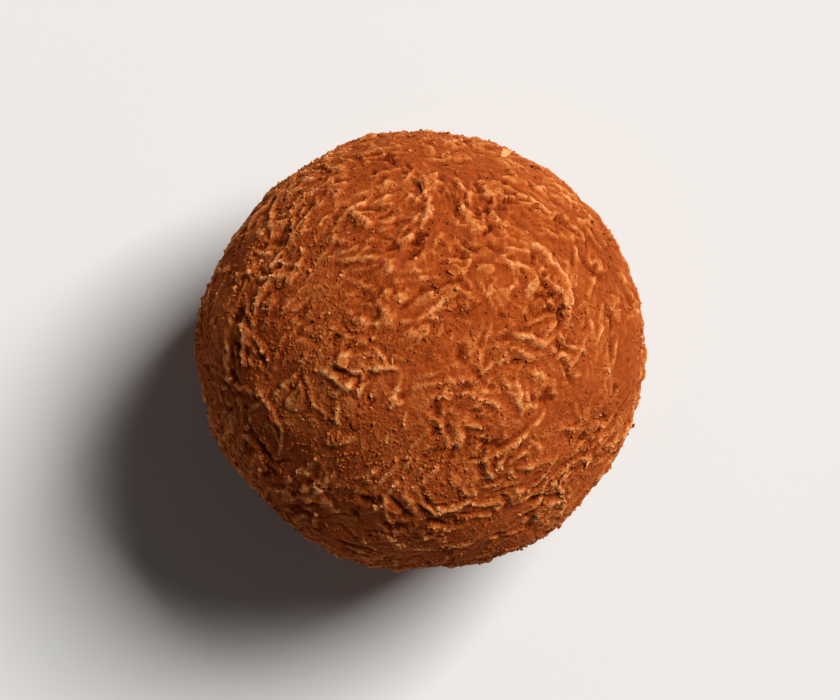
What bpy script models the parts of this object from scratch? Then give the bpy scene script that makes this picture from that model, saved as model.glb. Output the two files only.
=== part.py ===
"""A hand-rolled chocolate truffle dusted with cocoa: one solid ball that rests on a small flat spot.

The ball starts as a cube of even squares and is rounded into a sphere. Each of its points then moves
in or out by what rolling does to soft ganache: flats pressed by the palms, broad and small lumps,
nubs that the rolling left behind, and dents from the fingertips. Where it sat to set, it is flat.

Metres, +Z up. The origin is the middle of the ball's footprint, on the flat spot.
"""

import math

import bmesh
import bpy
from mathutils import Vector, noise

MM = 0.001

# Driving dimensions of the ball before rolling marks, and of the spot it sits on
WIDTH = 27.2 * MM
DEPTH = 26.8 * MM
HEIGHT = 26.6 * MM
FOOT_WIDTH = 9.0 * MM

# Squares along each side of the cube that becomes the ball, each about 0.75 mm once rounded
SQUARES = 28
# A point this close to the flat spot's plane moves onto it, so that the cut leaves no thin slivers
FOOT_SNAP = 0.05 * MM

# Marks are placed by azimuth from +X towards +Y and by elevation above the middle, in degrees.
# Palm flats: azimuth, elevation, depth pressed in from the round
PALM_FLATS = (
    (136, 6, 0.22 * MM),
    (226, 4, 0.34 * MM),
    (262, -24, 0.26 * MM),
    (338, 22, 0.18 * MM),
    (52, 38, 0.18 * MM),
    (14, -26, 0.26 * MM),
    (186, 52, 0.18 * MM),
    (296, 50, 0.16 * MM),
    (92, -34, 0.30 * MM),
)
PALM_FLAT_EDGE = 0.16 * MM  # how softly a flat runs out into the round

# Nubs and dents: azimuth, elevation, half-width, height (a dent's is below zero)
NUBS = (
    (286, 4, 1.5 * MM, 0.42 * MM),
    (183, 6, 1.1 * MM, 0.24 * MM),
    (110, 3, 1.3 * MM, 0.26 * MM),
    (24, 42, 1.4 * MM, 0.24 * MM),
    (252, 46, 1.6 * MM, 0.22 * MM),
    (322, -30, 1.4 * MM, 0.30 * MM),
    (150, -36, 1.5 * MM, 0.28 * MM),
)
DENTS = (
    (271, 3, 1.2 * MM, -0.30 * MM),
    (212, 38, 2.0 * MM, -0.24 * MM),
    (332, 44, 1.7 * MM, -0.20 * MM),
    (76, 62, 1.9 * MM, -0.20 * MM),
    (40, -12, 1.8 * MM, -0.24 * MM),
    (160, -8, 1.6 * MM, -0.22 * MM),
)

# Lumps in the ganache: their spacing over the surface and their height
BROAD_LUMP_SPACING = 6.5 * MM
BROAD_LUMP_HEIGHT = 0.26 * MM
SMALL_LUMP_SPACING = 2.8 * MM
SMALL_LUMP_HEIGHT = 0.18 * MM
SMALL_LUMP_OFFSET = Vector((7.3, 2.1, 4.6))  # reads another part of the noise than the broad lumps

COCOA_COLOUR = "#96441F"
COCOA_ROUGHNESS = 0.92


def remove_startup_objects():
    """Empties the scene, so that it holds only the truffle."""
    for existing in list(bpy.data.objects):
        bpy.data.objects.remove(existing, do_unlink=True)


def linear_colour(hex_colour):
    """An sRGB hex colour as linear RGBA."""
    channels = [int(hex_colour[i : i + 2], 16) / 255 for i in (1, 3, 5)]
    linear = [c / 12.92 if c <= 0.04045 else ((c + 0.055) / 1.055) ** 2.4 for c in channels]
    return (*linear, 1.0)


def cocoa_material():
    """Matte cocoa powder over chocolate."""
    material = bpy.data.materials.new("cocoa_dusted_chocolate")
    material.use_nodes = True
    shader = material.node_tree.nodes["Principled BSDF"]
    shader.inputs["Base Color"].default_value = linear_colour(COCOA_COLOUR)
    shader.inputs["Roughness"].default_value = COCOA_ROUGHNESS
    shader.inputs["Metallic"].default_value = 0.0
    return material


def towards(azimuth, elevation):
    """The unit vector at an azimuth and an elevation in degrees."""
    a, e = math.radians(azimuth), math.radians(elevation)
    return Vector((math.cos(a) * math.cos(e), math.sin(a) * math.cos(e), math.sin(e)))


def round_direction(corner):
    """The direction of a point on a cube of half-size 1, spread so that all its squares stay alike."""
    return Vector([math.tan(c * math.pi / 4) for c in corner]).normalized()


def ellipsoid_radius(direction):
    """The distance from the ball's middle to its surface before any rolling marks."""
    x, y, z = direction
    return 1 / math.sqrt((2 * x / WIDTH) ** 2 + (2 * y / DEPTH) ** 2 + (2 * z / HEIGHT) ** 2)


def soft_minimum(a, b, blend):
    """The smaller of a and b, rounded off where they are within blend of each other."""
    share = min(1.0, max(0.0, 0.5 + 0.5 * (b - a) / blend))
    return b + (a - b) * share - blend * share * (1 - share)


def press_palm_flats(radius, direction):
    """The radius once each palm flat has cut across it."""
    for azimuth, elevation, depth in PALM_FLATS:
        middle = towards(azimuth, elevation)
        facing = direction.dot(middle)
        if facing > 0.5:
            flat_radius = (ellipsoid_radius(middle) - depth) / facing
            radius = soft_minimum(radius, flat_radius, PALM_FLAT_EDGE)
    return radius


def lump_height(direction, spacing, height, offset=Vector()):
    """How far lumps of that spacing and height raise the surface."""
    return height * noise.noise(direction * (WIDTH / 2 / spacing) + offset)


def bump_height(direction, bumps):
    """How far a list of nubs or dents raises the surface."""
    total = 0.0
    for azimuth, elevation, half_width, height in bumps:
        distance = direction.angle(towards(azimuth, elevation)) * WIDTH / 2
        total += height * math.exp(-((distance / half_width) ** 2))
    return total


def rolled_point(corner):
    """Where a point of the starting cube lies on the rolled ball, about the ball's middle."""
    direction = round_direction(corner)
    radius = press_palm_flats(ellipsoid_radius(direction), direction)
    radius += lump_height(direction, BROAD_LUMP_SPACING, BROAD_LUMP_HEIGHT)
    radius += lump_height(direction, SMALL_LUMP_SPACING, SMALL_LUMP_HEIGHT, SMALL_LUMP_OFFSET)
    radius += bump_height(direction, NUBS) + bump_height(direction, DENTS)
    return direction * radius


def rolled_ball():
    """The whole ball as a bmesh of squares, before it has its flat spot."""
    ball = bmesh.new()
    bmesh.ops.create_cube(ball, size=2.0)
    bmesh.ops.subdivide_edges(ball, edges=ball.edges[:], cuts=SQUARES - 1, use_grid_fill=True)
    for vertex in ball.verts:
        vertex.co = rolled_point(vertex.co)
    return ball


def cut_flat_spot(ball):
    """Cuts the ball's underside off level, where its width is the foot's, and closes it with one flat face."""
    foot_z = -HEIGHT / 2 * math.sqrt(1 - (FOOT_WIDTH / WIDTH) ** 2)
    for vertex in ball.verts:
        if abs(vertex.co.z - foot_z) < FOOT_SNAP:
            vertex.co.z = foot_z
    everything = ball.verts[:] + ball.edges[:] + ball.faces[:]
    cut = bmesh.ops.bisect_plane(
        ball, geom=everything, dist=1e-7, plane_co=(0, 0, foot_z), plane_no=(0, 0, -1), clear_outer=True
    )
    rim = [part for part in cut["geom_cut"] if isinstance(part, bmesh.types.BMEdge)]
    bmesh.ops.edgeloop_fill(ball, edges=[edge for edge in rim if edge.is_boundary])
    bmesh.ops.recalc_face_normals(ball, faces=ball.faces[:])


def stand_on_origin(ball):
    """Moves the ball so that its flat spot is at height 0 and its footprint is centred on the origin."""
    lowest = Vector([min(v.co[axis] for v in ball.verts) for axis in range(3)])
    highest = Vector([max(v.co[axis] for v in ball.verts) for axis in range(3)])
    middle = (lowest + highest) / 2
    bmesh.ops.translate(ball, verts=ball.verts[:], vec=(-middle.x, -middle.y, -lowest.z))


def make_truffle():
    """The truffle as one named object with its material."""
    ball = rolled_ball()
    cut_flat_spot(ball)
    stand_on_origin(ball)
    mesh = bpy.data.meshes.new("truffle")
    ball.to_mesh(mesh)
    ball.free()
    mesh.shade_smooth()
    mesh.set_sharp_from_angle(angle=math.radians(40))
    mesh.materials.append(cocoa_material())
    truffle = bpy.data.objects.new("truffle", mesh)
    bpy.context.scene.collection.objects.link(truffle)
    return truffle


if __name__ == "__main__":
    remove_startup_objects()
    make_truffle()
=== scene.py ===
"""Looks of a cocoa-dusted chocolate truffle, laid out as a Blender add-on and run as a script."""

import math

import bmesh
import bpy
import numpy as np
from bpy.props import FloatProperty, FloatVectorProperty, IntProperty, PointerProperty
from mathutils import Matrix, Vector, noise
from mathutils.bvhtree import BVHTree


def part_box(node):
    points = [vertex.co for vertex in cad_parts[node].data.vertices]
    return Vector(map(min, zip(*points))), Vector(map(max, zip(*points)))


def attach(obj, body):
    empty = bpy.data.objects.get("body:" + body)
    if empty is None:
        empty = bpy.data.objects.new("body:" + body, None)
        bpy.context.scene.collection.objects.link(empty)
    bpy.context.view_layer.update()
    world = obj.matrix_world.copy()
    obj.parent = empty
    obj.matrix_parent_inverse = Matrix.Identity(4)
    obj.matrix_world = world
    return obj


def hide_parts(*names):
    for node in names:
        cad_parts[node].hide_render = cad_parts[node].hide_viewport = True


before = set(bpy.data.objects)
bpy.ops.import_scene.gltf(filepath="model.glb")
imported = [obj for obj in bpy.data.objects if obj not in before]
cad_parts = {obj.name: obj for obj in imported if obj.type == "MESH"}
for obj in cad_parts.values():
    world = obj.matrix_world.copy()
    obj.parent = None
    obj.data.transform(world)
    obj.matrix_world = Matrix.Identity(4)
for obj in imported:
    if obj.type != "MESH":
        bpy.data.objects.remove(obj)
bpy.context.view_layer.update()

bl_info = {
    "name": "Cocoa Truffle",
    "version": (1, 0, 0),
    "blender": (4, 5, 0),
    "location": "3D View > Sidebar > Truffle",
    "description": "Dresses a plain chocolate ball with craggy cocoa, flakes and crumbs",
    "category": "Object",
}

MM = 0.001

BALL_NODE = "truffle"
BALL_LOW, BALL_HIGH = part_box(BALL_NODE)
BALL_MIDDLE = (BALL_LOW + BALL_HIGH) / 2
BALL_RADIUS = (BALL_HIGH.x - BALL_LOW.x) / 2

# Parts of the noise, far from each other, that give the three directions of a push
NOISE_PARTS = ((0.0, 0.0, 0.0), (17.3, 4.1, 9.6), (5.8, 23.2, 13.9))

# The ball's most marked crests, and its furrows and pits: azimuth from +X towards +Y and elevation of the
# middle in degrees, the way it runs (degrees from level, anticlockwise as seen from outside), length, width
# and height, which is below zero where it is sunk
MARKED_CRESTS = (
    (38, 43, 0, 5.4 * MM, 0.60 * MM, 0.34 * MM),
    (18, 47, 15, 3.6 * MM, 0.60 * MM, 0.34 * MM),
    (0, 61, 72, 2.6 * MM, 0.75 * MM, 0.36 * MM),
    (319, 58, 167, 5.8 * MM, 0.65 * MM, 0.32 * MM),
    (279, 46, 8, 3.0 * MM, 0.70 * MM, 0.34 * MM),
    (181, 65, 117, 2.2 * MM, 0.75 * MM, 0.36 * MM),
    (197, 62, 45, 2.6 * MM, 0.70 * MM, 0.34 * MM),
    (102, 24, 4, 2.8 * MM, 0.60 * MM, 0.28 * MM),
    (117, 48, 113, 2.4 * MM, 0.60 * MM, 0.30 * MM),
    (59, 73, 172, 2.2 * MM, 0.60 * MM, 0.30 * MM),
    (209, 46, 5, 3.4 * MM, 0.60 * MM, 0.28 * MM),
)
MARKED_FURROWS = (
    (24, 52, 10, 4.0 * MM, 0.60 * MM, -0.34 * MM),
    (213, 40, 3, 3.6 * MM, 0.60 * MM, -0.30 * MM),
    (310, 63, 165, 3.0 * MM, 0.60 * MM, -0.26 * MM),
    (242, 44, 30, 1.5 * MM, 1.0 * MM, -0.36 * MM),
    (291, 74, 70, 1.3 * MM, 0.9 * MM, -0.32 * MM),
    (283, 60, 20, 1.5 * MM, 0.9 * MM, -0.36 * MM),
    (263, 34, 10, 1.6 * MM, 1.0 * MM, -0.34 * MM),
    (8, 54, 60, 1.4 * MM, 0.9 * MM, -0.34 * MM),
)

# The largest of the smaller crests and of the furrows all over: length, width and height
FINE_CRESTS = (1.7 * MM, 0.42 * MM, 0.14 * MM)
FURROWS = (3.4 * MM, 0.55 * MM, -0.28 * MM)
PIT_SIZE = 1.3 * MM
PIT_DEPTH = 0.26 * MM
POWDER_SPACING = 0.8 * MM
POWDER_DEPTH = 0.03 * MM

# How far crags are stirred out of true, and the spacing of the widest swirls that do it
STIRRING = 0.16 * MM
STIRRING_SPACING = 1.0 * MM
# Rounds of averaging that take in a rough patch, about 1.1 mm each way, or a single crest's surroundings
PATCH_ROUNDS = 180
CREST_ROUNDS = 8
# Rolling wears crests down to about this height
TALLEST_CREST = 0.24 * MM

# How pale a point of the skin is: shares of its height and of how far it stands above what is close by,
# each as a part of the rise that moves it the full way along the ramp. Raised points and crest tips come
# out paler, as dry powder; low points and the feet of crests come out darker, which is painted shade.
HEIGHT_SHARE = 0.55
TIP_SHARE = 0.45
FULL_TONE_HEIGHT = 0.46 * MM
FULL_TONE_TIP = 0.12 * MM

# Weights of that paleness and of the three noises in a material's tone, and what brings its mean to 0.5
PALENESS_WEIGHT = 0.45
PATCHES_WEIGHT = 0.30
CLOTS_WEIGHT = 0.42
GRAINS_WEIGHT = 0.20
TONE_SHIFT = -0.18

# Shares of the single grains, the creases and the granules in the fine relief, beside a whole one of clots
GRAINS_RELIEF = 0.35
CREASES_RELIEF = 0.15
GRANULES_RELIEF = -0.35
FINE_RELIEF = 0.18 * MM

# Loose cocoa keeps above this height, clear of where the ball stands
LOWEST_LOOSE = 0.9 * MM

# The key lamp's azimuth and elevation in degrees, its distance from the ball's middle, and its side
KEY_AZIMUTH = 38
KEY_ELEVATION = 48
KEY_DISTANCE = 2.4
KEY_SIDE = 1.04
FLOOR_RADIUS = 8.0
# The camera's lens and sensor in millimetres, the image's shape, and the ball's share of its height
LENS = 200
SENSOR_WIDTH = 36
IMAGE_WIDTH = 840
IMAGE_HEIGHT = 700
BALL_SHARE = 0.64


# ---------------------------------------------------------------- colours and nodes


def linear(hex_colour):
    """An sRGB hex colour as linear RGB, as shaders take it."""
    channels = [int(hex_colour[i : i + 2], 16) / 255 for i in (1, 3, 5)]
    return [c / 12.92 if c <= 0.04045 else ((c + 0.055) / 1.055) ** 2.4 for c in channels]


def add_node(tree, kind, inputs=None, **settings):
    """Adds a node with its settings, and feeds its inputs from values or from other nodes' sockets."""
    node = tree.nodes.new(kind)
    for name, value in settings.items():
        setattr(node, name, value)
    for name, value in (inputs or {}).items():
        if isinstance(value, bpy.types.NodeSocket):
            tree.links.new(value, node.inputs[name])
        else:
            node.inputs[name].default_value = value
    return node


def per_metre(size):
    """The texture scale that gives a pattern that real size, as Object coordinates are in metres."""
    return 1 / size


def set_stops(ramp_node, stops):
    """Gives a colour ramp its stops, each a place from 0 to 1 and a linear colour."""
    ramp = ramp_node.color_ramp
    while len(ramp.elements) < len(stops):
        ramp.elements.new(0.5)
    for element, (place, colour) in zip(ramp.elements, stops):
        element.position = place
        element.color = (*colour, 1.0)


def cocoa_material(name, colours, dryness):
    """Cocoa powder over soft ganache, sieved on and rolled in. It is quite matte, brightens a little
    towards the rim where light grazes the loose powder, and is paler where the powder is dry and thick.

    dryness moves the whole tone towards the pale end, as on loose flakes and crumbs."""
    material = bpy.data.materials.new(name)
    material.use_nodes = True
    tree = material.node_tree
    tree.nodes.clear()
    place = add_node(tree, "ShaderNodeTexCoord").outputs["Object"]

    # Damp and dry patches, a few millimetres across
    patches = add_node(
        tree,
        "ShaderNodeTexNoise",
        {"Vector": place, "Scale": per_metre(4.0 * MM), "Detail": 3.0, "Roughness": 0.55},
    )
    # Clots of powder, half a millimetre across
    clots = add_node(
        tree,
        "ShaderNodeTexNoise",
        {"Vector": place, "Scale": per_metre(0.45 * MM), "Detail": 5.0, "Roughness": 0.68},
    )
    # Single grains: real cocoa is under 0.05 mm, drawn here at 0.12 mm so that it shows
    grains = add_node(
        tree,
        "ShaderNodeTexNoise",
        {"Vector": place, "Scale": per_metre(0.12 * MM), "Detail": 2.0, "Roughness": 0.7},
    )
    paleness = add_node(tree, "ShaderNodeAttribute", attribute_name="cocoa_dryness_and_shade")

    # The tone is a weighted sum of the paleness and the three noises, about 0.5 on average. The paleness
    # darkens hollows and the feet of crests, which is painted shade.
    tone = add_node(
        tree,
        "ShaderNodeMath",
        {0: paleness.outputs["Fac"], 1: PALENESS_WEIGHT, 2: dryness + TONE_SHIFT},
        operation="MULTIPLY_ADD",
    )
    for source, weight in ((patches, PATCHES_WEIGHT), (clots, CLOTS_WEIGHT), (grains, GRAINS_WEIGHT)):
        tone = add_node(
            tree,
            "ShaderNodeMath",
            {0: source.outputs["Fac"], 1: weight, 2: tone.outputs[0]},
            operation="MULTIPLY_ADD",
        )
    ramp = add_node(tree, "ShaderNodeValToRGB", {"Fac": tone.outputs[0]})
    # The darkest stop, reached in hollows and cracks, is painted shade as well as damp cocoa
    set_stops(
        ramp,
        (
            (0.22, linear_of(colours.damp_and_shade)),
            (0.50, linear_of(colours.cocoa)),
            (0.66, linear_of(colours.dry)),
            (0.81, linear_of(colours.speck)),
        ),
    )

    # Granules of clotted powder, a quarter of a millimetre across, with gaps between them
    granules = add_node(
        tree,
        "ShaderNodeTexVoronoi",
        {"Vector": place, "Scale": per_metre(0.24 * MM), "Randomness": 1.0},
        feature="F1",
    )
    # Thin creases between flakes of powder, under a millimetre apart
    creases = add_node(
        tree,
        "ShaderNodeTexNoise",
        {"Vector": place, "Scale": per_metre(0.9 * MM), "Detail": 3.0, "Roughness": 0.6, "Distortion": 0.4},
        noise_type="RIDGED_MULTIFRACTAL",
    )
    fine = add_node(
        tree,
        "ShaderNodeMath",
        {0: grains.outputs["Fac"], 1: GRAINS_RELIEF, 2: clots.outputs["Fac"]},
        operation="MULTIPLY_ADD",
    )
    fine = add_node(
        tree,
        "ShaderNodeMath",
        {0: creases.outputs["Fac"], 1: CREASES_RELIEF, 2: fine.outputs[0]},
        operation="MULTIPLY_ADD",
    )
    fine = add_node(
        tree,
        "ShaderNodeMath",
        {0: granules.outputs["Distance"], 1: GRANULES_RELIEF, 2: fine.outputs[0]},
        operation="MULTIPLY_ADD",
    )
    bump = add_node(
        tree,
        "ShaderNodeBump",
        {"Height": fine.outputs[0], "Strength": 1.0, "Distance": FINE_RELIEF},
    )
    shader = add_node(
        tree,
        "ShaderNodeBsdfPrincipled",
        {
            "Base Color": ramp.outputs["Color"],
            "Roughness": 0.95,
            "IOR": 1.45,
            "Specular IOR Level": 0.05,
            "Sheen Weight": 0.18,
            "Sheen Roughness": 0.45,
            "Sheen Tint": (*linear_of(colours.sheen), 1.0),
            "Normal": bump.outputs["Normal"],
        },
    )
    add_node(tree, "ShaderNodeOutputMaterial", {"Surface": shader.outputs["BSDF"]})
    return material


def linear_of(colour_property):
    """A colour property as a plain list."""
    return list(colour_property)


def floor_material(colour):
    """A sweep of white paper, rolled smooth: even and dull, with a faint tooth."""
    material = bpy.data.materials.new("white_paper_sweep")
    material.use_nodes = True
    tree = material.node_tree
    tree.nodes.clear()
    place = add_node(tree, "ShaderNodeTexCoord").outputs["Object"]
    tooth = add_node(
        tree,
        "ShaderNodeTexNoise",
        {"Vector": place, "Scale": per_metre(0.8 * MM), "Detail": 2.0},
    )
    bump = add_node(
        tree,
        "ShaderNodeBump",
        {"Height": tooth.outputs["Fac"], "Strength": 0.1, "Distance": 0.02 * MM},
    )
    shader = add_node(
        tree,
        "ShaderNodeBsdfPrincipled",
        {
            "Base Color": (*linear_of(colour), 1.0),
            "Roughness": 0.9,
            "Specular IOR Level": 0.1,
            "Normal": bump.outputs["Normal"],
        },
    )
    add_node(tree, "ShaderNodeOutputMaterial", {"Surface": shader.outputs["BSDF"]})
    return material


# ---------------------------------------------------------------- the ball's skin


def towards(azimuth, elevation):
    """The unit vector at an azimuth from +X and an elevation, in degrees."""
    a, e = math.radians(azimuth), math.radians(elevation)
    return Vector((math.cos(a) * math.cos(e), math.sin(a) * math.cos(e), math.sin(e)))


def noise_at(points, spacing, offset=(0.0, 0.0, 0.0)):
    """Smooth noise at each point, from about -0.5 to 0.5, in lumps of that spacing."""
    shift = Vector(offset)
    return np.array([noise.noise(Vector(point) / spacing + shift) for point in points])


def push_at(place, spacing):
    """A smooth sideways push at a place, up to about 0.5 along each axis, in swirls of that spacing."""
    return Vector([noise.noise(place / spacing + Vector(part)) for part in NOISE_PARTS])


def pushes_at(points, spacing, octaves):
    """The push at each point, with finer and weaker swirls on top of it, each half the last."""
    total = np.zeros_like(points)
    for octave in range(octaves):
        finer = 0.5**octave
        total += finer * np.array([push_at(Vector(point), spacing * finer) for point in points])
    return total


def smooth_step(value):
    """0 below 0, 1 above 1, and a smooth rise between."""
    value = np.clip(value, 0, 1)
    return value * value * (3 - 2 * value)


class Skin:
    """The points of the ball's skin, their outward normals, and how high the cocoa stands at each."""

    def __init__(self, points, normals):
        self.points = points
        self.normals = normals
        self.height = np.zeros(len(points))
        # Crags are measured on slightly stirred places, which makes their outlines ragged
        self.stirred = points + STIRRING * pushes_at(points, STIRRING_SPACING, 4)
        # Where crags are dense: 1 in the roughest patches, down to a quarter in the plain ones
        rough = noise_at(points, 5.0 * MM) + 0.5 * noise_at(points, 2.2 * MM, (3.1, 8.2, 5.7))
        self.roughness = 0.25 + 0.75 * smooth_step(0.5 + 1.5 * rough)
        # Crests are broken down here and there along their length
        breaks = noise_at(self.stirred, 1.1 * MM, (9.4, 1.7, 2.3))
        self.wholeness = 0.5 + 0.5 * smooth_step(0.7 + 2.0 * breaks)

    def random_spot(self, rng, spread):
        """A point's index, and the directions along and across the way the ball was rolled there.
        spread is how far crags turn away from that way, in radians."""
        index = rng.integers(len(self.points))
        while rng.random() > self.roughness[index]:
            index = rng.integers(len(self.points))
        normal = Vector(self.normals[index])
        rolled = push_at(Vector(self.points[index]), 7.0 * MM)
        along = (rolled - normal * rolled.dot(normal)).normalized()
        along = Matrix.Rotation(rng.normal(0, spread), 3, normal) @ along
        return index, np.array(along), np.array(normal.cross(along))

    def spot_at(self, azimuth, elevation, heading):
        """The point at that azimuth and elevation, and the directions along and across a heading."""
        outward = towards(azimuth, elevation)
        index = np.argmax((self.points - np.array(BALL_MIDDLE)) @ np.array(outward))
        level = Vector((0, 0, 1)).cross(outward).normalized()
        along = Matrix.Rotation(math.radians(heading), 3, outward) @ level
        return index, np.array(along), np.array(outward.cross(along))

    def around(self, index, along, across, reach):
        """The points within reach of a spot: their indices, and their places along and across it."""
        offsets = self.stirred - self.stirred[index]
        close = np.flatnonzero(np.einsum("ij,ij->i", offsets, offsets) < reach * reach)
        return close, offsets[close] @ along, offsets[close] @ across


def ragged_rim(angle, rng):
    """The size of a ragged shape in each direction, about 1."""
    rim = np.ones_like(angle)
    for lobes, amount in ((2, 0.14), (3, 0.16), (5, 0.10), (8, 0.06)):
        rim += amount * np.cos(lobes * angle + rng.uniform(0, 2 * math.pi))
    return rim


def raise_plates(skin, rng, count, size, thickness):
    """Scales of cocoa and ganache torn up while rolling, each flush at one end and raised at the other."""
    for _ in range(count):
        index, along, across = skin.random_spot(rng, 1.2)
        half_length = size * rng.uniform(0.25, 0.6)
        half_width = half_length * rng.uniform(0.4, 0.9)
        close, u, v = skin.around(index, along, across, half_length * 1.5)
        angle = np.arctan2(v / half_width, u / half_length)
        inside = ragged_rim(angle, rng) - np.hypot(u / half_length, v / half_width)
        edge = smooth_step(inside * half_width / (0.18 * MM))
        lift = smooth_step(0.5 + 0.5 * u / half_length)
        skin.height[close] += thickness * rng.uniform(0.3, 1.3) * edge * lift


def raise_ridge(skin, rng, spot, length, width, height):
    """A torn crest of ganache and cocoa, steeper on one side, or a furrow if its height is negative."""
    index, along, across = spot
    half_length = length / 2
    half_width = width / 2
    bend = rng.normal(0, 0.10) / half_length
    close, u, v = skin.around(index, along, across, half_length * 1.3)
    side = (v - bend * u * u) / half_width
    lean = rng.uniform(-0.45, 0.45)
    slope = np.where(side > lean, (1 - side) / (1 - lean), (1 + side) / (1 + lean))
    crest = np.clip(slope, 0, 1)
    ends = np.clip(1 - (u / half_length) ** 2, 0, 1) ** 0.7
    skin.height[close] += height * crest * ends * skin.wholeness[close]


def raise_ridges(skin, rng, count, length, width, height):
    """Crests or furrows all over, each of its own size up to these."""
    for _ in range(count):
        spot = skin.random_spot(rng, 0.5)
        sizes = rng.uniform((0.35, 0.60, 0.25), (1.0, 1.0, 1.0)) * (length, width, height)
        raise_ridge(skin, rng, spot, *sizes)


def sink_pits(skin, rng, count, size, depth):
    """Small ragged holes where a crumb has dropped out."""
    for _ in range(count):
        index, along, across = skin.random_spot(rng, 1.2)
        half_size = size * rng.uniform(0.25, 0.7)
        close, u, v = skin.around(index, along, across, half_size * 1.6)
        rim = ragged_rim(np.arctan2(v, u), rng)
        inside = rim - np.hypot(u, v * rng.uniform(1.2, 2.6)) / half_size
        skin.height[close] -= depth * rng.uniform(0.4, 1.0) * smooth_step(inside * 1.5)


def local_mean(values, edges, rounds):
    """Each point's value averaged over its surroundings, which widen with each round."""
    ends = np.concatenate([edges[:, 0], edges[:, 1]])
    others = np.concatenate([edges[:, 1], edges[:, 0]])
    neighbours = np.bincount(ends, minlength=len(values))
    for _ in range(rounds):
        total = np.bincount(ends, weights=values[others], minlength=len(values))
        values = (values + total / neighbours) / 2
    return values


def clump_powder(skin, spacing, height):
    """Powder all over, in little clumps of that spacing with sharp gaps between them."""
    for index, point in enumerate(skin.stirred):
        gaps = noise.ridged_multi_fractal(Vector(point) / spacing, 0.9, 2.1, 3, 1.0, 2.0)
        skin.height[index] -= height * (0.5 + 0.5 * skin.roughness[index]) * gaps


def round_direction(corner):
    """The direction of a point on a cube of half-size 1, spread so that all its squares stay alike."""
    return Vector([math.tan(c * math.pi / 4) for c in corner]).normalized()


def smooth_ball(squares):
    """A fine copy of the CAD ball's form: a cube of squares, rounded and set on the CAD surface."""
    ball = bmesh.new()
    bmesh.ops.create_cube(ball, size=2.0)
    bmesh.ops.subdivide_edges(ball, edges=ball.edges[:], cuts=squares - 1, use_grid_fill=True)
    surface = BVHTree.FromObject(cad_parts[BALL_NODE], bpy.context.evaluated_depsgraph_get())
    for vertex in ball.verts:
        hit = surface.ray_cast(BALL_MIDDLE, round_direction(vertex.co))
        vertex.co = hit[0]
    for _ in range(10):
        bmesh.ops.smooth_vert(
            ball, verts=ball.verts[:], factor=0.5, use_axis_x=True, use_axis_y=True, use_axis_z=True
        )
    ball.normal_update()
    return ball


def finish_mesh(name, mesh, material, tones, smooth=True):
    """Makes a mesh a shown piece that rides on the truffle. tones say how pale each point is."""
    if smooth:
        mesh.shade_smooth()
    mesh.materials.append(material)
    tone = mesh.attributes.new("cocoa_dryness_and_shade", "FLOAT", "POINT")
    tone.data.foreach_set("value", np.clip(tones, 0, 1).astype(np.float32))
    piece = bpy.data.objects.new(name, mesh)
    bpy.context.scene.collection.objects.link(piece)
    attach(piece, "root")
    return piece


# ---------------------------------------------------------------- loose cocoa


class Ground:
    """The finished skin, which loose cocoa is laid on."""

    def __init__(self, piece):
        self.surface = BVHTree.FromObject(piece, bpy.context.evaluated_depsgraph_get())
        self.faces = [face.vertices[0] for face in piece.data.polygons]
        # The skin's tone at each point, painted shade in hollows and at crest feet included
        self.tones = [value.value for value in piece.data.attributes["cocoa_dryness_and_shade"].data]

    def spot(self, rng, gathering):
        """A random place on the skin: its middle, three directions there, and the skin's own tone.
        gathering is how strongly loose cocoa keeps to some patches."""
        while True:
            outward = Vector(rng.normal(size=3)).normalized()
            patch = noise.noise(outward * (BALL_RADIUS / (4.5 * MM)))
            clump = noise.noise(outward * (BALL_RADIUS / (1.1 * MM)))
            start = BALL_MIDDLE + outward * 2 * BALL_RADIUS
            middle, normal, face, _ = self.surface.ray_cast(start, -outward)
            wanted = 0.25 + gathering * (1.1 * patch + 1.3 * clump)
            if middle.z > LOWEST_LOOSE and rng.random() < wanted:
                break
        up = (normal + outward).normalized()
        turn = Matrix.Rotation(rng.uniform(0, 2 * math.pi), 3, up)
        along = turn @ up.orthogonal().normalized()
        return middle, along, up.cross(along), up, self.tones[self.faces[face]]

    def lay(self, spot, points):
        """Lays points given along, across and above a spot on the skin, so that they follow its relief."""
        middle, along, across, up, _ = spot
        laid = []
        for u, v, w in points:
            over = middle + along * u + across * v
            hit = self.surface.ray_cast(over + up * MM, -up)[0]
            laid.append((hit or over) + up * w)
        return laid

    def set_down(self, spot, points):
        """Sets points given along, across and above a spot down on it, as something stiff."""
        middle, along, across, up, _ = spot
        return list(np.array(middle) + points @ np.array([along, across, up]))


def arrays_of(shape):
    """A bmesh's points as an array and its faces as lists of point numbers. Frees the bmesh."""
    shape.verts.index_update()
    points = np.array([v.co for v in shape.verts])
    faces = [[v.index for v in face.verts] for face in shape.faces]
    shape.free()
    return points, faces


def flake_shape():
    """A six-cornered plate of half-size 1."""
    shape = bmesh.new()
    bmesh.ops.create_cone(shape, cap_ends=True, segments=6, radius1=1.0, radius2=1.0, depth=1.0)
    bmesh.ops.translate(shape, verts=shape.verts[:], vec=(0, 0, 0.5))
    return arrays_of(shape)


def crumb_shape():
    """An angular chip of half-size 1, with twenty faces."""
    shape = bmesh.new()
    bmesh.ops.create_icosphere(shape, subdivisions=1, radius=1.0)
    return arrays_of(shape)


def grain_shape():
    """A single grain of half-size 1, with eight faces."""
    shape = bmesh.new()
    bmesh.ops.create_uvsphere(shape, u_segments=4, v_segments=2, radius=1.0)
    return arrays_of(shape)


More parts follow.
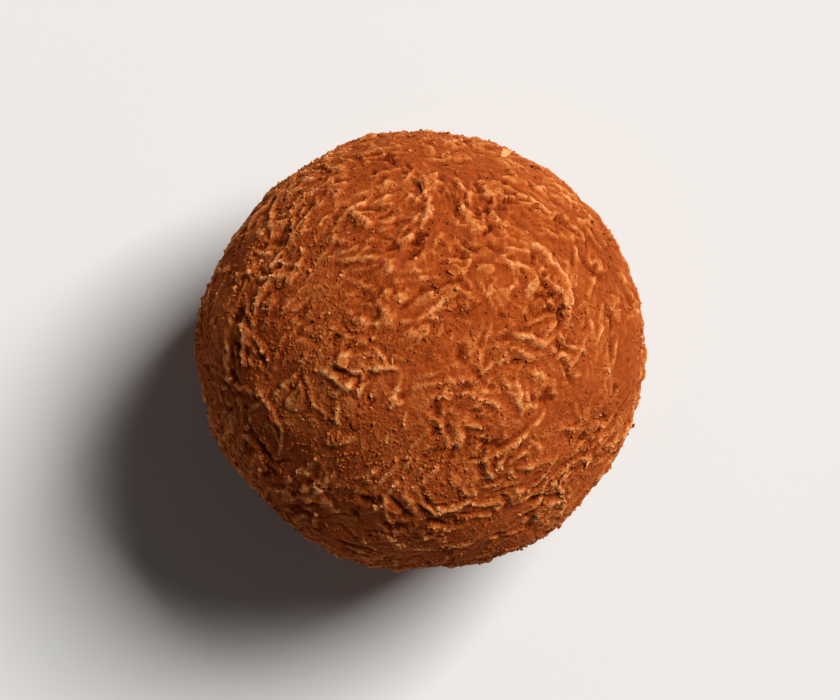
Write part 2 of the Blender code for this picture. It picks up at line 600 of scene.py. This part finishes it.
def flake_points(points, rng, size, thickness):
    """A broken flake with its own corners, sunk in the skin at one end and lifted at the other."""
    half_length = size * rng.uniform(0.15, 0.5)
    half_width = half_length * rng.uniform(0.35, 0.8)
    corner_reach = rng.uniform(0.6, 1.3, 12)
    corner = np.round(np.degrees(np.arctan2(points[:, 1], points[:, 0])) / 30).astype(int) % 12
    u = points[:, 0] * corner_reach[corner] * half_length
    v = points[:, 1] * corner_reach[corner] * half_width
    curl = rng.uniform(-0.5, 0.8) / half_length
    tilt = (u + 0.3 * half_length) * rng.uniform(0.0, 0.45)
    w = (points[:, 2] - 0.4) * thickness + tilt + curl * v * v
    return np.column_stack([u, v, w])


def lump_points(points, rng, size):
    """A crumb or a grain of its own size and angular shape, turned at random, a little sunk in the skin."""
    half_length = size * (0.2 + 0.3 * rng.random() ** 2)
    half_size = half_length * np.array([1.0, rng.uniform(0.5, 1.0), rng.uniform(0.4, 0.8)])
    jitter = 1 + rng.normal(0, 0.24, (len(points), 1))
    lump = points * jitter * half_size
    roll = Matrix.Rotation(rng.normal(0, 0.6), 3, "X")
    pitch = Matrix.Rotation(rng.normal(0, 0.6), 3, "Y")
    lump = lump @ np.array(roll @ pitch)
    lump[:, 2] += half_size[2] * rng.uniform(-0.3, 0.5)
    return lump


def scatter(name, ground, rng, count, shape, own_points, material, gathering, paler, stiff):
    """Lays many copies of a shape on the skin as one piece. Each copy has its own form, and about the
    tone of the skin that it lies on, made paler by that much."""
    points, faces = shape
    place = ground.set_down if stiff else ground.lay
    all_points, all_faces, all_tones = [], [], []
    for _ in range(count):
        start = len(all_points)
        spot = ground.spot(rng, gathering)
        all_points += place(spot, own_points(points, rng))
        all_faces += [[start + corner for corner in face] for face in faces]
        # A copy takes the tone of the skin it lies on, painted shade in hollows included
        all_tones += [spot[4] + rng.normal(paler, 0.14)] * len(points)
    mesh = bpy.data.meshes.new(name)
    mesh.from_pydata(all_points, [], all_faces)
    return finish_mesh(name, mesh, material, all_tones, smooth=False)


# ---------------------------------------------------------------- settings


class CocoaColours(bpy.types.PropertyGroup):
    """Colours of the cocoa, from its hollows to its palest specks."""

    # Darkest cocoa, used down in the cracks: damp powder and painted shade, deep and saturated like cocoa
    # in shadow
    damp_and_shade: FloatVectorProperty(
        name="Hollows",
        description="Damp cocoa down in the cracks",
        subtype="COLOR",
        default=linear("#5A1500"),
    )
    cocoa: FloatVectorProperty(
        name="Cocoa",
        description="The cocoa powder over most of the ball",
        subtype="COLOR",
        default=linear("#9C4418"),
    )
    dry: FloatVectorProperty(
        name="Dry cocoa",
        description="Thick dry powder on crests",
        subtype="COLOR",
        default=linear("#C06C33"),
    )
    speck: FloatVectorProperty(
        name="Specks",
        description="The palest crumbs and edges",
        subtype="COLOR",
        default=linear("#E6A068"),
    )
    sheen: FloatVectorProperty(
        name="Rim",
        description="The glow of loose powder at the rim",
        subtype="COLOR",
        default=linear("#FF8838"),
    )


class SkinSettings(bpy.types.PropertyGroup):
    """Sizes of what makes the skin craggy."""

    squares: IntProperty(
        name="Squares",
        description="Squares along each side of the cube that becomes the ball",
        default=128,
        min=16,
    )
    seed: IntProperty(name="Seed", description="Which random arrangement is made", default=5)
    plates: IntProperty(name="Plates", description="How many thin scales lie on the skin", default=380)
    plate_size: FloatProperty(
        name="Plate size",
        description="Length of the largest scale",
        default=2.4 * MM,
        unit="LENGTH",
        precision=5,
    )
    plate_thickness: FloatProperty(
        name="Plate thickness",
        description="How thick a scale is",
        default=0.16 * MM,
        unit="LENGTH",
        precision=5,
    )
    ridges: IntProperty(name="Ridges", description="How many large torn crests there are", default=1300)
    ridge_length: FloatProperty(
        name="Ridge length",
        description="Length of the longest crest",
        default=3.4 * MM,
        unit="LENGTH",
        precision=5,
    )
    ridge_width: FloatProperty(
        name="Ridge width",
        description="Width of the widest crest",
        default=0.58 * MM,
        unit="LENGTH",
        precision=5,
    )
    ridge_height: FloatProperty(
        name="Ridge height",
        description="How far a crest stands up",
        default=0.27 * MM,
        unit="LENGTH",
        precision=5,
    )
    pits: IntProperty(name="Pits", description="How many crumbs have dropped out", default=200)


class LooseCocoaSettings(bpy.types.PropertyGroup):
    """Numbers and sizes of the flakes, crumbs, granules and grains that lie on the skin."""

    seed: IntProperty(name="Seed", description="Which random arrangement is made", default=11)
    flakes: IntProperty(name="Flakes", description="How many thin flakes", default=260)
    flake_size: FloatProperty(
        name="Flake size",
        description="Length of the largest flake",
        default=1.1 * MM,
        unit="LENGTH",
        precision=5,
    )
    flake_thickness: FloatProperty(
        name="Flake thickness",
        description="How thick a flake is",
        default=0.06 * MM,
        unit="LENGTH",
        precision=5,
    )
    crumbs: IntProperty(name="Crumbs", description="How many crumbs", default=1900)
    crumb_size: FloatProperty(
        name="Crumb size",
        description="Width of the largest crumb",
        default=0.38 * MM,
        unit="LENGTH",
        precision=5,
    )
    granules: IntProperty(
        name="Granules",
        description="How many clotted granules of powder",
        default=9500,
    )
    granule_size: FloatProperty(
        name="Granule size",
        description="Width of the largest granule",
        default=0.30 * MM,
        unit="LENGTH",
        precision=5,
    )
    grains: IntProperty(name="Grains", description="How many single grains show", default=22000)
    grain_size: FloatProperty(
        name="Grain size",
        description="Width of the largest grain",
        default=0.16 * MM,
        unit="LENGTH",
        precision=5,
    )


class StageSettings(bpy.types.PropertyGroup):
    """The floor and the light."""

    floor_colour: FloatVectorProperty(
        name="Floor", description="Colour of the floor", subtype="COLOR", default=linear("#D4D2CF")
    )
    key_power: FloatProperty(
        name="Key lamp",
        description="Power of the main lamp",
        default=100.0,
        unit="POWER",
    )
    sky: FloatProperty(name="Sky", description="Strength of the even light all round", default=0.065)


# ---------------------------------------------------------------- operators


class TRUFFLE_OT_ball(bpy.types.Operator):
    """Makes the ball with its craggy cocoa skin"""

    bl_idname = "truffle.ball"
    bl_label = "Ball"

    def execute(self, context):
        settings = context.scene.truffle_skin
        rng = np.random.default_rng(settings.seed)
        ball = smooth_ball(settings.squares)
        points = np.array([v.co for v in ball.verts])
        normals = np.array([v.normal for v in ball.verts])
        edges = np.array([[v.index for v in edge.verts] for edge in ball.edges])
        skin = Skin(points, normals)
        raise_plates(skin, rng, settings.plates, settings.plate_size, settings.plate_thickness)
        crests = (settings.ridge_length, settings.ridge_width, settings.ridge_height)
        raise_ridges(skin, rng, settings.ridges, *crests)
        raise_ridges(skin, rng, settings.ridges * 2, *FINE_CRESTS)
        raise_ridges(skin, rng, settings.ridges // 3, *FURROWS)
        sink_pits(skin, rng, settings.pits, PIT_SIZE, PIT_DEPTH)
        clump_powder(skin, POWDER_SPACING, POWDER_DEPTH)
        # Rough patches end up no higher than plain ones
        skin.height -= local_mean(skin.height, edges, PATCH_ROUNDS)
        # Rolling wears the tallest tips down, and leaves the crevices open
        worn = TALLEST_CREST * np.tanh(skin.height / TALLEST_CREST)
        skin.height = np.where(skin.height > 0, worn, skin.height)
        for azimuth, elevation, heading, *sizes in MARKED_CRESTS + MARKED_FURROWS:
            raise_ridge(skin, rng, skin.spot_at(azimuth, elevation, heading), *sizes)
        moved = points + normals * skin.height[:, None]
        moved[:, 2] = np.maximum(moved[:, 2], 0)
        for vertex, place in zip(ball.verts, moved):
            vertex.co = place
        mesh = bpy.data.meshes.new("truffle_ball")
        ball.to_mesh(mesh)
        ball.free()
        material = cocoa_material("cocoa_powder", context.scene.cocoa_colours, 0.0)
        # Crest tips are paler than their flanks, as drier powder, and the cracks at their feet darker,
        # which is painted shade
        tips = skin.height - local_mean(skin.height, edges, CREST_ROUNDS)
        tones = 0.5 + HEIGHT_SHARE * skin.height / FULL_TONE_HEIGHT + TIP_SHARE * tips / FULL_TONE_TIP
        piece = finish_mesh("truffle_ball", mesh, material, tones)
        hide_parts(BALL_NODE)
        return {"FINISHED"}


class TRUFFLE_OT_loose_cocoa(bpy.types.Operator):
    """Lays flakes, crumbs, granules and grains of cocoa on the ball"""

    bl_idname = "truffle.loose_cocoa"
    bl_label = "Loose cocoa"

    def execute(self, context):
        settings = context.scene.truffle_loose
        rng = np.random.default_rng(settings.seed)
        ground = Ground(bpy.data.objects["truffle_ball"])
        material = cocoa_material("dry_cocoa", context.scene.cocoa_colours, 0.02)

        def flake(points, rng):
            return flake_points(points, rng, settings.flake_size, settings.flake_thickness)

        def crumb(points, rng):
            return lump_points(points, rng, settings.crumb_size)

        def granule(points, rng):
            return lump_points(points, rng, settings.granule_size)

        def grain(points, rng):
            return lump_points(points, rng, settings.grain_size)

        # Each row: name, number, base shape, own form, how gathered, how much paler than the skin, stiff
        for name, count, shape, own_points, gathering, paler, stiff in (
            ("cocoa_flakes", settings.flakes, flake_shape, flake, 1.0, 0.05, False),
            ("cocoa_crumbs", settings.crumbs, crumb_shape, crumb, 1.0, 0.05, True),
            ("cocoa_granules", settings.granules, crumb_shape, granule, 0.4, 0.03, True),
            ("cocoa_grains", settings.grains, grain_shape, grain, 0.4, 0.06, True),
        ):
            scatter(name, ground, rng, count, shape(), own_points, material, gathering, paler, stiff)
        return {"FINISHED"}


class TRUFFLE_OT_stage(bpy.types.Operator):
    """Makes the floor, the light and the camera, which looks straight down"""

    bl_idname = "truffle.stage"
    bl_label = "Stage"

    def execute(self, context):
        settings = context.scene.truffle_stage
        self.make_floor(context, settings)
        self.make_key_lamp(context, settings)
        self.make_even_light(context, settings)
        self.make_camera(context)
        context.scene.view_settings.view_transform = "Standard"
        return {"FINISHED"}

    def make_floor(self, context, settings):
        shape = bmesh.new()
        bmesh.ops.create_circle(shape, cap_ends=True, segments=96, radius=FLOOR_RADIUS)
        mesh = bpy.data.meshes.new("floor")
        shape.to_mesh(mesh)
        shape.free()
        mesh.materials.append(floor_material(settings.floor_colour))
        floor = bpy.data.objects.new("floor", mesh)
        context.scene.collection.objects.link(floor)

    def make_key_lamp(self, context, settings):
        """A square soft lamp that faces the ball."""
        data = bpy.data.lights.new("key", "AREA")
        data.size = KEY_SIDE
        data.energy = settings.key_power
        lamp = bpy.data.objects.new("key", data)
        away = towards(KEY_AZIMUTH, KEY_ELEVATION)
        lamp.location = BALL_MIDDLE + away * KEY_DISTANCE
        lamp.rotation_mode = "QUATERNION"
        lamp.rotation_quaternion = away.to_track_quat("Z", "Y")
        context.scene.collection.objects.link(lamp)

    def make_even_light(self, context, settings):
        world = bpy.data.worlds.new("even_light")
        world.use_nodes = True
        background = world.node_tree.nodes["Background"]
        background.inputs["Color"].default_value = (1.0, 1.0, 1.0, 1.0)
        background.inputs["Strength"].default_value = settings.sky
        context.scene.world = world

    def make_camera(self, context):
        data = bpy.data.cameras.new("camera")
        data.lens = LENS
        data.sensor_width = SENSOR_WIDTH
        data.clip_start = 0.01
        data.clip_end = 20
        camera = bpy.data.objects.new("camera", data)
        frame_height = 2 * BALL_RADIUS / BALL_SHARE
        sensor_height = data.sensor_width * IMAGE_HEIGHT / IMAGE_WIDTH
        camera.location = BALL_MIDDLE + Vector((0, 0, frame_height * data.lens / sensor_height))
        context.scene.collection.objects.link(camera)
        context.scene.camera = camera


class TRUFFLE_PT_sidebar(bpy.types.Panel):
    """Lists the steps and their settings"""

    bl_label = "Truffle"
    bl_idname = "TRUFFLE_PT_sidebar"
    bl_space_type = "VIEW_3D"
    bl_region_type = "UI"
    bl_category = "Truffle"

    def draw(self, context):
        layout = self.layout
        for group in ("cocoa_colours", "truffle_skin", "truffle_loose", "truffle_stage"):
            box = layout.box()
            settings = getattr(context.scene, group)
            for name in settings.bl_rna.properties.keys():
                if name not in ("rna_type", "name"):
                    box.prop(settings, name)
        layout.operator("truffle.ball")
        layout.operator("truffle.loose_cocoa")
        layout.operator("truffle.stage")


CLASSES = (
    CocoaColours,
    SkinSettings,
    LooseCocoaSettings,
    StageSettings,
    TRUFFLE_OT_ball,
    TRUFFLE_OT_loose_cocoa,
    TRUFFLE_OT_stage,
    TRUFFLE_PT_sidebar,
)


def register():
    for cls in CLASSES:
        bpy.utils.register_class(cls)
    bpy.types.Scene.cocoa_colours = PointerProperty(type=CocoaColours)
    bpy.types.Scene.truffle_skin = PointerProperty(type=SkinSettings)
    bpy.types.Scene.truffle_loose = PointerProperty(type=LooseCocoaSettings)
    bpy.types.Scene.truffle_stage = PointerProperty(type=StageSettings)


def unregister():
    del bpy.types.Scene.truffle_stage
    del bpy.types.Scene.truffle_loose
    del bpy.types.Scene.truffle_skin
    del bpy.types.Scene.cocoa_colours
    for cls in reversed(CLASSES):
        bpy.utils.unregister_class(cls)


def main():
    """Makes the truffle and its stage."""
    register()
    bpy.ops.truffle.ball()
    bpy.ops.truffle.loose_cocoa()
    bpy.ops.truffle.stage()


if __name__ == "__main__":
    main()
